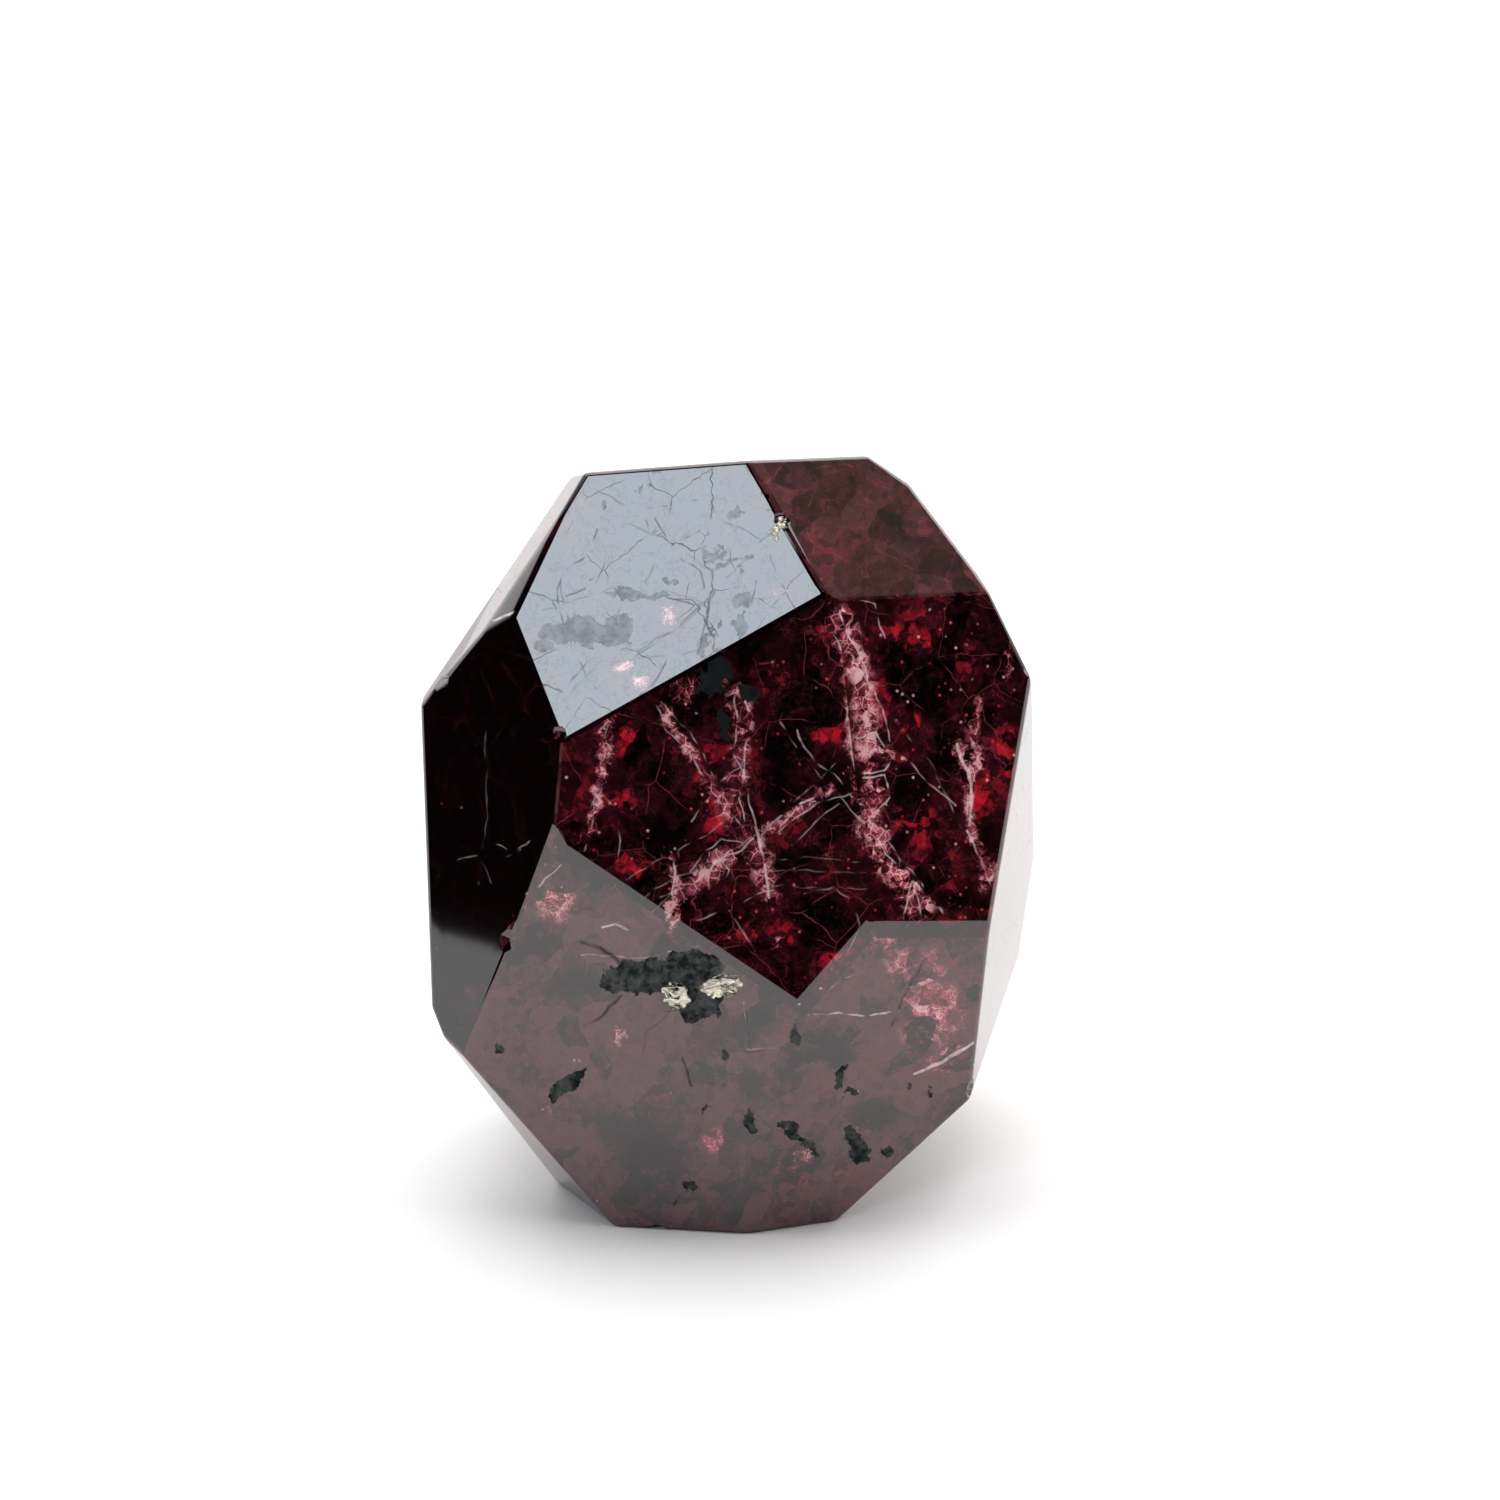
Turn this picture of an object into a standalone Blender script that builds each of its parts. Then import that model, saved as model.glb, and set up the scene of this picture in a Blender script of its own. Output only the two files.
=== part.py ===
"""A polished garnet free-form: one stone, ground to flat facets with softly polished edges.

Metres, +Z up. The stone stands on its base facet, and its front faces -Y.
"""
import math

import bmesh
import bpy
from mathutils import Vector

MM = 0.001

NAME = "garnet_free_form"

# The rough is a cube about the stone's centre, and the base facet lies this far below that centre
ROUGH_SIDE = 60 * MM
CENTRE_HEIGHT = 20.35 * MM

# The cutting list. Each facet has a turn about the upright axis in degrees (0 faces the front,
# + goes to the right), a tilt up from upright in degrees, and a depth from the centre in mm.
FRONT_FACETS = {
    "front": (0, 12, 14.4),
    "brow": (-11, 29, 17.75),
    "crown": (25, 42.5, 22.45),
    "right": (22, 13.5, 16.45),
    "toe": (-7.5, 1, 15.0),
    "low_right": (19.5, -5, 16.85),
    "sliver": (-14.5, 5.5, 16.15),
}
SIDE_FACETS = {
    "left": (-38.5, 12.5, 18.1),
    "notch": (-56.5, 34.5, 22.95),
    "left_shoulder": (-82.5, 35, 22.6),
    "left_flank": (-98, -4.5, 17.5),
    "under_left": (-60.8, -34.3, 22.48),
    "under_flank": (-95.9, -28.5, 18.7),
    "right_edge": (77.8, -5.7, 18.38),
    "low_flank": (106.3, -11.7, 20.54),
    "under_right": (92, -49, 19.5),
}
BACK_FACETS = {
    "top": (-170, 68.5, 23.3),
    "right_shoulder": (130, 44.5, 22.2),
    "right_slope": (121.5, 22.5, 16.9),
    "right_cheek": (112, 23, 18.9),
    "left_slope": (-113.5, 29, 19.4),
    "rear_left": (-145, 8, 16.2),
    "rear_left_slope": (-150, 40, 19.2),
    "back_slope": (168, 36, 18.6),
    "back": (178, 4, 14.6),
    "back_foot": (-172, -26, 16.4),
}

# Edge rounding: how far it runs onto the facets on each side of the edge
POLISHED_EDGE = 0.3 * MM
WORN_EDGE = 0.6 * MM
SOFT_EDGE = 1.0 * MM
WORN_EDGES = [
    ("toe", "low_right"),
    ("toe", "front"),
]
SOFT_EDGES = [
    ("front", "low_right"),
    ("right", "low_right"),
]
EDGE_SEGMENTS = 3

# Chips along the edges: a point on the edge, the scoop's radius and how deep it bites, in mm
CHIPS = [
    ((-13.5, -13.4, -1.2), 1.6, 0.32),
    ((-12.1, -13.8, 1.1), 1.2, 0.20),
    ((-10.3, -12.2, 11.5), 1.0, 0.22),
    ((-17.9, -6.0, 12.6), 1.3, 0.28),
    ((3.25, -7.9, 23.9), 0.8, 0.30),
    ((-4.4, -14.8, -20.3), 1.2, 0.25),
    ((15.3, -11.1, -11.9), 1.1, 0.22),
    ((18.4, -7.4, 14.1), 1.0, 0.20),
    ((8.0, 10.3, -18.8), 1.6, 0.35),
    ((9.1, 13.7, 8.0), 1.4, 0.30),
    ((-16.3, 8.9, -2.2), 1.5, 0.32),
    ((-6.7, 14.6, 3.9), 1.0, 0.22),
]
SCOOP_SUBDIVISIONS = 2

GARNET_COLOUR = (0.045, 0.006, 0.009, 1.0)
GARNET_ROUGHNESS = 0.08


def clear_scene():
    for thing in list(bpy.data.objects):
        bpy.data.objects.remove(thing, do_unlink=True)


def new_collection(name):
    group = bpy.data.collections.new(name)
    bpy.context.scene.collection.children.link(group)
    return group


def facet_normal(turn, tilt):
    turn, tilt = math.radians(turn), math.radians(tilt)
    return Vector((
        math.sin(turn) * math.cos(tilt),
        -math.cos(turn) * math.cos(tilt),
        math.sin(tilt),
    ))


def grind(mesh, normal, depth):
    """Cut one flat facet off the rough and close the cut."""
    geometry = mesh.verts[:] + mesh.edges[:] + mesh.faces[:]
    cut = bmesh.ops.bisect_plane(
        mesh, geom=geometry, plane_co=normal * depth, plane_no=normal, clear_outer=True)
    rim = [item for item in cut["geom_cut"] if isinstance(item, bmesh.types.BMEdge)]
    bmesh.ops.contextual_create(mesh, geom=rim)


def facet_names(mesh, facets):
    """Name each face by the facet whose direction it has."""
    names = {}
    for face in mesh.faces:
        names[face] = max(facets, key=lambda name: face.normal.dot(facets[name]))
    return names


def rounding(pair):
    """How far the rounding of the edge between two facets runs."""
    either_way = {tuple(pair), tuple(reversed(pair))}
    if either_way & set(SOFT_EDGES):
        return SOFT_EDGE
    if either_way & set(WORN_EDGES):
        return WORN_EDGE
    return POLISHED_EDGE


def cut_stone():
    """Grind the facets from a cube and mark each edge with its rounding."""
    mesh = bmesh.new()
    bmesh.ops.create_cube(mesh, size=ROUGH_SIDE)
    facets = {"base": Vector((0, 0, -1))}
    grind(mesh, facets["base"], CENTRE_HEIGHT)
    for name, (turn, tilt, depth) in {**FRONT_FACETS, **SIDE_FACETS, **BACK_FACETS}.items():
        facets[name] = facet_normal(turn, tilt)
        grind(mesh, facets[name], depth * MM)
    bmesh.ops.recalc_face_normals(mesh, faces=mesh.faces)
    mesh.normal_update()
    names = facet_names(mesh, facets)
    weights = mesh.edges.layers.float.new("bevel_weight_edge")
    for edge in mesh.edges:
        edge[weights] = rounding([names[face] for face in edge.link_faces]) / SOFT_EDGE
    return mesh


def bottom_centre(mesh):
    """The middle of the bounding box's underside."""
    low = [min(vertex.co[axis] for vertex in mesh.verts) for axis in range(3)]
    high = [max(vertex.co[axis] for vertex in mesh.verts) for axis in range(3)]
    return Vector(((low[0] + high[0]) / 2, (low[1] + high[1]) / 2, low[2]))


def garnet_material():
    material = bpy.data.materials.new("garnet")
    material.use_nodes = True
    shader = material.node_tree.nodes["Principled BSDF"]
    shader.inputs["Base Color"].default_value = GARNET_COLOUR
    shader.inputs["Roughness"].default_value = GARNET_ROUGHNESS
    shader.inputs["Metallic"].default_value = 0.0
    material.diffuse_color = GARNET_COLOUR
    return material


def add_object(name, mesh, group):
    data = bpy.data.meshes.new(name)
    mesh.to_mesh(data)
    mesh.free()
    thing = bpy.data.objects.new(name, data)
    group.objects.link(thing)
    return thing


def round_edges(stone):
    bevel = stone.modifiers.new("Polished edges", "BEVEL")
    bevel.limit_method = "WEIGHT"
    bevel.width = SOFT_EDGE
    bevel.segments = EDGE_SEGMENTS
    bevel.use_clamp_overlap = False


def chip_scoops(origin, group):
    """One mesh of small balls, each sunk a little way into an edge."""
    mesh = bmesh.new()
    for place, radius, bite in CHIPS:
        point = Vector(place) * MM
        centre = point + point.normalized() * (radius - bite) * MM - origin
        ball = bmesh.ops.create_icosphere(mesh, subdivisions=SCOOP_SUBDIVISIONS, radius=radius * MM)
        bmesh.ops.translate(mesh, verts=ball["verts"], vec=centre)
    scoops = add_object("chip_scoops", mesh, group)
    scoops.hide_render = True
    scoops.display_type = "WIRE"
    return scoops


def chip_edges(stone, scoops):
    chips = stone.modifiers.new("Chips", "BOOLEAN")
    chips.operation = "DIFFERENCE"
    chips.solver = "EXACT"
    chips.object = scoops


def main():
    clear_scene()
    parts = new_collection(NAME)
    cutters = new_collection("cutters")
    mesh = cut_stone()
    origin = bottom_centre(mesh)
    bmesh.ops.translate(mesh, verts=mesh.verts, vec=-origin)
    stone = add_object(NAME, mesh, parts)
    stone.data.materials.append(garnet_material())
    round_edges(stone)
    chip_edges(stone, chip_scoops(origin, cutters))


main()
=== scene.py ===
"""A polished garnet free-form on a pale floor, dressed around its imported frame."""
import math
import random

import bpy
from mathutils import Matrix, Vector


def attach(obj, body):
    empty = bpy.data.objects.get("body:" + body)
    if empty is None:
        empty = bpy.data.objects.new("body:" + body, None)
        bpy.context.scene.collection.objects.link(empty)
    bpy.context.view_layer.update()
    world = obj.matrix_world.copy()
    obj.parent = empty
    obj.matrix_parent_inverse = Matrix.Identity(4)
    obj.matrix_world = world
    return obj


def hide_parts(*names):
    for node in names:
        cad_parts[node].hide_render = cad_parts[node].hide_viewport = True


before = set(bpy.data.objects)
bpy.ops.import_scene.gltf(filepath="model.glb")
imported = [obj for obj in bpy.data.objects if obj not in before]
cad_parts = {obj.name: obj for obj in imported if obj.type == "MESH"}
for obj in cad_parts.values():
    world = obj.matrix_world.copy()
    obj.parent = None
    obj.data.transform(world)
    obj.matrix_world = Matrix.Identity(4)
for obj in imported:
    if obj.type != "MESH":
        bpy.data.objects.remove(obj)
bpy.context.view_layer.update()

bl_info = {
    "name": "Garnet free-form",
    "version": (1, 0, 0),
    "blender": (4, 5, 0),
    "location": "3D View > Sidebar > Garnet",
    "description": "Adds a polished garnet free-form with its inclusions, floor, lights and camera",
    "category": "Add Mesh",
}

STONE = "garnet_free_form"
BODY = "root"
MM = 0.001
# Rays that find the stone's front start this far in front of its centre, in mm
RAY_START = 60.0

# The stone's own centre, in mm from the middle of the underside of its box
CENTRE = Vector((-0.178, 0.306, 20.35))
# Marks on the front are placed on a plan that faces this far above the horizontal
PLAN_TILT = math.radians(20)
PLAN_UP = Vector((0, math.sin(PLAN_TILT), math.cos(PLAN_TILT)))
PLAN_INWARDS = Vector((0, math.cos(PLAN_TILT), -math.sin(PLAN_TILT)))
# The direction of the studio's warm side, above on the right
WARM_SIDE = Vector((0.5397, -0.1671, 0.825))
# How much of the polish the dark mineral loses, in the brow and elsewhere
BROW_DULLNESS = 0.38
MINERAL_DULLNESS = 0.78

# A thinner crack than this is drawn this wide and fainter, so that it doesn't break up, in mm
HAIRLINE = 0.09

# Each zone of the stone has its own marks, placed on the front plan.
# Cracks that flash white or pink: their points in mm, and their width in mm
WHITE_CRACKS = {
    "front": {
        "vein_left": ([(0.3, 9.3), (0.45, 7.4), (0.2, 5.6), (0.9, 4.4), (0.5, 2.9),
                       (1.1, 1.2)], 0.05),
        "vein_right": ([(0.9, 9.3), (1.2, 7.6), (1.0, 5.9), (0.8, 4.2), (1.5, 2.0),
                        (1.7, 0.4)], 0.06),
        "spike": ([(1.6, 1.0), (2.0, -0.5), (2.3, -2.0), (2.4, -3.1)], 0.13),
        "diagonal": ([(-4.6, 8.6), (-3.8, 7.1), (-2.6, 5.9), (-1.5, 4.1), (-0.3, 2.3),
                      (1.0, 0.9)], 0.045),
        "diagonal_back": ([(-4.3, 8.9), (-2.4, 6.8), (-1.5, 5.4), (-0.4, 3.0)], 0.035),
        "loop": ([(1.1, 5.1), (-0.2, 4.3), (-1.0, 3.3), (-1.6, 2.3), (-2.4, 1.5)], 0.04),
        "arm_upper": ([(2.0, 0.8), (3.1, 1.8), (4.4, 2.6), (5.6, 3.2), (6.6, 3.9)], 0.09),
        "arm_lower": ([(2.6, 0.5), (4.0, 1.6), (5.3, 2.6), (6.9, 3.0), (8.1, 3.4)], 0.05),
        "arm_low": ([(3.9, 0.0), (5.2, 1.4), (6.8, 2.5)], 0.035),
        "web_a": ([(1.4, 0.4), (0.3, -0.5), (-0.9, -0.9), (-1.7, -2.1)], 0.06),
        "web_b": ([(0.9, 0.2), (-0.4, 0.5), (-1.4, -0.2), (-2.3, -1.6)], 0.04),
        "web_c": ([(-0.7, -0.8), (-0.1, -1.5), (-0.5, -2.2), (-1.2, -2.3), (-1.6, -1.7)], 0.04),
        "web_d": ([(-1.7, -2.1), (-2.8, -2.7), (-4.2, -3.2)], 0.04),
        "blobs": ([(-3.7, -0.4), (-3.3, -1.6), (-3.4, -2.9), (-3.1, -4.0)], 0.10),
        "long_right": ([(3.2, 7.6), (4.4, 5.8), (5.5, 4.3), (6.8, 3.2), (8.2, 1.2),
                        (9.3, -0.9)], 0.035),
        "edge_a": ([(4.2, 7.0), (5.3, 5.1), (6.6, 4.4), (7.6, 3.0)], 0.045),
        "foot_arch": ([(-3.3, -5.0), (-1.4, -4.4), (0.4, -3.6), (2.4, -2.6)], 0.035),
        "foot_branch": ([(-0.2, -3.6), (0.6, -5.0), (1.6, -6.6)], 0.035),
        "disc": ([(3.9, -4.6), (4.6, -2.9), (6.3, -2.5), (7.7, -3.5), (8.1, -5.0),
                  (7.4, -6.6)], 0.03),
        "cluster_up": ([(-8.9, 1.6), (-7.9, 3.4), (-7.9, 5.3), (-7.2, 8.3)], 0.035),
        "cluster_down": ([(-8.2, 3.0), (-8.5, 0.8), (-9.2, -0.9)], 0.04),
        "cluster_side": ([(-7.9, 3.1), (-6.9, 2.3), (-6.6, 0.2), (-7.0, -1.4)], 0.03),
        "speck_line": ([(-7.4, -2.9), (-5.6, -1.6), (-3.0, -0.2), (-0.4, 1.4)], 0.025),
        "speck_second": ([(-6.2, -3.9), (-3.4, -1.9), (-0.3, -1.2)], 0.025),
        "long_low": ([(-4.9, -4.2), (-1.2, -1.1), (2.6, 1.3), (6.9, 5.4)], 0.025),
        "scratch_high": ([(0.8, -0.8), (9.5, -0.95)], 0.02),
        "scratch_middle": ([(1.3, -1.5), (8.8, -1.7)], 0.018),
        "scratch_low": ([(1.3, -2.4), (9.0, -2.7)], 0.02),
        "column_edge": ([(6.1, 13.6), (6.9, 11.7), (7.6, 9.8), (7.3, 7.6), (7.5, 5.6),
                         (7.9, 3.9)], 0.05),
    },
    "right": {
        "main": ([(7.4, 11.7), (8.3, 10.2), (9.3, 8.7), (10.0, 6.4), (11.8, 4.3),
                  (13.9, 2.5)], 0.045),
        "column": ([(6.8, 14.4), (7.4, 12.6), (8.2, 11.2), (8.6, 9.5)], 0.09),
        "polygon_a": ([(7.9, 6.6), (8.9, 6.9), (10.0, 5.6), (9.6, 4.5), (8.3, 4.4)], 0.07),
        "polygon_b": ([(8.2, 4.1), (9.6, 4.2), (9.9, 3.0), (9.0, 2.1), (8.1, 2.6)], 0.07),
        "straight": ([(8.6, 1.8), (10.3, -0.4), (13.3, -4.2)], 0.035),
        "vein": ([(14.0, 6.2), (14.8, 4.6), (15.0, 2.9), (14.9, 1.2)], 0.13),
        "vein_foot": ([(14.7, 0.9), (15.4, -0.7), (16.4, -2.9)], 0.10),
        "fan_left": ([(11.3, -2.3), (10.7, -4.4)], 0.06),
        "fan_middle": ([(11.4, -2.3), (11.9, -4.6)], 0.05),
        "fan_right": ([(11.5, -2.4), (13.4, -4.4)], 0.06),
        "arc": ([(8.8, 1.1), (9.7, -0.6), (10.9, -1.5)], 0.07),
        "high": ([(7.4, 15.3), (8.9, 14.8), (9.6, 12.7)], 0.04),
        "long": ([(9.9, 8.1), (12.4, 5.2), (14.3, 1.1)], 0.025),
    },
    "toe": {
        "streak": ([(5.3, -10.4), (8.0, -10.6), (10.5, -10.4)], 0.08),
        "arc": ([(4.2, -9.2), (4.9, -10.4)], 0.08),
        "line": ([(5.0, -9.8), (9.3, -6.8)], 0.04),
        "left_arc": ([(-7.8, -5.2), (-7.0, -4.9), (-6.3, -5.3)], 0.10),
        "right_streak": ([(11.5, -14.3), (13.4, -13.6), (15.2, -12.4)], 0.14),
        "left_peak": ([(-10.4, -1.3), (-11.8, -2.5)], 0.05),
        "cross": ([(0.9, -9.8), (1.1, -12.7), (3.0, -12.6)], 0.03),
        "rim": ([(-9.1, -6.9), (-6.0, -7.0), (-1.9, -6.2)], 0.03),
    },
    "side": {
        "scratch": ([(-14.4, 0.0), (-13.6, -0.5), (-12.4, 0.3)], 0.035),
        "scratch_low": ([(-14.2, -1.1), (-12.9, -0.2)], 0.025),
        "scratch_far": ([(-17.0, -1.0), (-15.6, -0.6), (-14.7, -2.3)], 0.025),
        "notch": ([(-13.2, 14.4), (-14.1, 14.0), (-14.9, 13.8)], 0.12),
        "chip": ([(-13.2, -4.9), (-12.5, -6.1)], 0.12),
        "tall": ([(-15.2, 7.0), (-15.0, 2.0), (-15.6, -2.5)], 0.015),
    },
}

# Hairlines that stay dark: their points in mm, and their width in mm
DARK_CRACKS = {
    "brow": {
        "fork": ([(-1.1, 17.0), (-0.9, 15.6), (-1.3, 15.0), (-1.4, 13.6), (-1.9, 11.9)], 0.11),
        "upper": ([(-4.6, 20.1), (-3.4, 18.4), (-2.8, 17.4), (-1.8, 17.0), (-1.5, 15.8)], 0.07),
        "cross": ([(-1.8, 19.5), (-3.4, 18.4), (-4.6, 17.1), (-5.2, 16.2)], 0.06),
        "left": ([(-8.2, 19.5), (-8.7, 17.9), (-10.3, 16.6), (-10.5, 15.8), (-10.3, 13.6)], 0.08),
        "hook": ([(-7.7, 17.6), (-7.9, 16.9), (-8.6, 16.5)], 0.06),
        "dash": ([(-8.9, 15.9), (-10.0, 15.3)], 0.07),
        "short": ([(-3.3, 15.2), (-2.1, 14.8)], 0.08),
        "long": ([(-1.8, 14.8), (-3.0, 13.5), (-5.2, 12.0), (-6.4, 11.1)], 0.06),
        "low_left": ([(-8.1, 12.0), (-9.2, 10.6), (-10.9, 8.7), (-11.4, 8.0)], 0.07),
        "low": ([(-3.8, 11.4), (-4.3, 10.3), (-5.6, 9.0)], 0.07),
        "right": ([(1.7, 16.2), (1.2, 14.4)], 0.07),
        "edge": ([(2.5, 18.0), (3.6, 15.1), (4.2, 14.2)], 0.05),
        "grain": ([(1.9, 18.7), (2.5, 19.2), (3.4, 19.8)], 0.13),
        "far_left": ([(-10.4, 16.4), (-9.6, 11.9), (-8.1, 9.6)], 0.05),
        "high": ([(-9.0, 22.4), (-5.9, 20.6), (-2.0, 21.2)], 0.05),
        "high_right": ([(-1.9, 22.6), (-0.6, 20.2), (1.9, 18.9)], 0.05),
        "hair_a": ([(-8.0, 20.3), (-4.1, 19.0), (-1.0, 16.8)], 0.035),
        "hair_b": ([(-11.5, 14.5), (-6.7, 16.0), (-2.2, 19.5)], 0.035),
        "hair_c": ([(-6.7, 12.0), (-3.0, 13.3), (1.1, 17.8)], 0.035),
        "hair_d": ([(-10.7, 8.3), (-8.0, 11.2), (-1.6, 12.0)], 0.035),
        "hair_e": ([(2.7, 15.3), (-1.0, 14.9), (-3.9, 15.7)], 0.03),
    },
    "toe": {
        "thick": ([(-9.1, -6.0), (-8.0, -6.5), (-6.8, -7.3)], 0.20),
        "tail": ([(-6.6, -9.4), (-7.7, -10.5), (-8.9, -11.2)], 0.15),
        "needle": ([(-2.9, -13.3), (-2.3, -15.0)], 0.13),
        "left": ([(-9.8, -1.5), (-10.5, -3.4)], 0.09),
        "right": ([(12.1, -7.1), (10.8, -9.6), (9.9, -11.7)], 0.09),
        "root": ([(-2.6, -21.6), (-3.6, -22.7)], 0.13),
        "cross": ([(1.0, -10.0), (1.1, -12.9), (3.1, -12.7)], 0.05),
        "under_plate": ([(-3.6, -10.3), (-5.0, -11.6), (-5.4, -13.0)], 0.05),
    },
}

# Patches are ellipses: middle in mm, half sizes in mm, and a turn in degrees
BLACK_MINERAL = {
    "brow": {
        "dart": (-5.7, 15.4, 2.3, 0.28, -4),
        "big": (-9.2, 13.0, 2.7, 0.75, -2),
        "big_top": (-9.4, 13.5, 1.2, 0.7, 0),
        "big_end": (-6.9, 13.2, 1.1, 1.1, 0),
        "almond_left": (-11.3, 12.2, 0.7, 0.4, -22),
        "almond_top": (0.4, 20.4, 0.6, 0.28, 40),
        "almond_middle": (-3.6, 16.3, 0.45, 0.22, -25),
        "pit": (-7.6, 21.2, 0.16, 0.35, 10),
        "small_dart": (-5.4, 22.0, 0.12, 0.3, 0),
        "wedge_a": (-1.2, 18.1, 0.4, 0.28, 0),
        "wedge_b": (-0.6, 18.3, 0.17, 0.32, 0),
        "band": (-0.8, 17.7, 0.55, 0.17, 20),
        "bar": (-0.3, 17.3, 0.95, 0.17, 27),
        "bar_end": (0.7, 17.0, 0.22, 0.17, 0),
        "blob": (1.0, 17.9, 0.3, 0.22, 0),
        "low_a": (0.8, 15.0, 0.42, 0.65, 15),
        "low_b": (0.8, 13.5, 0.42, 0.8, -8),
        "low_wedge": (-1.6, 12.4, 0.3, 0.95, -12),
        "low_dot": (-0.6, 13.4, 0.22, 0.25, 0),
        "edge_dot": (-0.6, 12.0, 0.2, 0.2, 0),
        "top_dart": (-4.3, 23.2, 0.35, 0.15, 0),
    },
    "front": {
        "square": (-0.9, 10.5, 1.05, 1.05, 5),
        "square_foot": (-1.5, 9.7, 0.5, 0.5, 5),
        "round": (1.1, 9.3, 0.62, 0.58, 0),
        "wedge": (-0.3, 7.3, 0.28, 1.1, 8),
    },
    "toe": {
        "plate_left": (-5.6, -8.2, 2.5, 1.15, 6),
        "plate_middle": (-2.5, -8.1, 2.4, 1.65, 0),
        "plate_foot": (-1.8, -9.8, 1.4, 1.15, 30),
        "bar": (-10.2, -15.1, 1.65, 0.45, 42),
        "blot": (-0.3, -13.0, 0.38, 0.38, 0),
        "oval": (1.4, -17.3, 0.38, 0.8, 10),
        "leaf": (4.4, -18.3, 1.8, 0.32, -43),
        "root": (7.9, -18.9, 0.6, 1.25, 25),
        "root_side": (9.9, -19.3, 0.5, 0.42, 20),
        "thorn": (6.8, -14.5, 0.3, 0.85, -25),
        "thorn_dot": (7.5, -15.4, 0.32, 0.25, 0),
        "square": (-2.5, -21.5, 0.42, 0.34, 15),
        "seed": (4.2, -11.9, 0.28, 0.65, 0),
        "dot_a": (11.3, -15.3, 0.28, 0.28, 0),
        "dot_b": (12.6, -15.6, 0.2, 0.2, 0),
        "speck": (-1.4, -16.5, 0.15, 0.3, 0),
        "left_mark": (-14.2, -12.7, 0.2, 0.3, 0),
    },
}
RED_GLOWS = {
    "front": {
        "ring": (5.9, 7.3, 1.3, 1.2, 20),
        "upper": (3.2, 10.2, 1.8, 1.3, 10),
        "left": (-6.4, 2.8, 1.4, 0.9, 0),
        "middle": (-1.5, 5.2, 0.5, 1.9, -32),
        "lower_middle": (-1.0, 1.6, 1.2, 1.6, 0),
        "foot_left": (-0.9, -5.1, 1.7, 1.0, -12),
        "foot_middle": (1.0, -5.6, 1.9, 0.9, 12),
        "foot_right": (3.2, -5.3, 1.3, 1.4, 12),
        "foot_far": (6.2, -7.1, 1.4, 0.8, 10),
        "low": (6.1, -1.8, 0.8, 0.5, 10),
        "right": (9.2, 0.4, 1.3, 1.8, 20),
        "corner": (6.0, 13.2, 1.3, 1.2, 10),
        "left_low": (-5.9, -1.2, 2.0, 1.2, -20),
        "left_high": (-6.0, 6.4, 1.6, 1.3, 20),
    },
    "right": {
        "speckled": (11.4, 1.0, 1.9, 1.9, 0),
        "upper_dot": (7.9, 11.2, 0.5, 0.4, 0),
        "high": (14.9, 11.2, 1.3, 2.2, 0),
        "low": (15.6, 3.2, 0.9, 3.0, 0),
        "foot": (12.4, -1.6, 1.6, 1.2, 0),
        "edge": (17.0, 6.5, 0.8, 3.4, 8),
        "middle": (11.2, 7.4, 0.9, 1.2, 10),
        "top": (11.5, 12.9, 2.2, 0.9, -12),
    },
    "toe": {
        "left": (-8.3, -4.6, 1.6, 1.2, 0),
        "right": (13.0, -8.5, 2.0, 2.2, 0),
        "foot": (2.5, -20.6, 3.2, 1.6, 0),
        "foot_right": (7.5, -20.8, 2.2, 1.2, 10),
        "middle": (-4.5, -14.0, 2.2, 2.2, 0),
        "far_right": (13.8, -13.6, 1.6, 1.8, 0),
        "upper_left": (-6.4, -5.0, 1.6, 0.8, -10),
    },
    "side": {
        "edge": (-17.8, 3.0, 0.9, 3.0, 0),
        "foot": (-16.5, -9.6, 1.8, 2.2, 0),
    },
}
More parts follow.
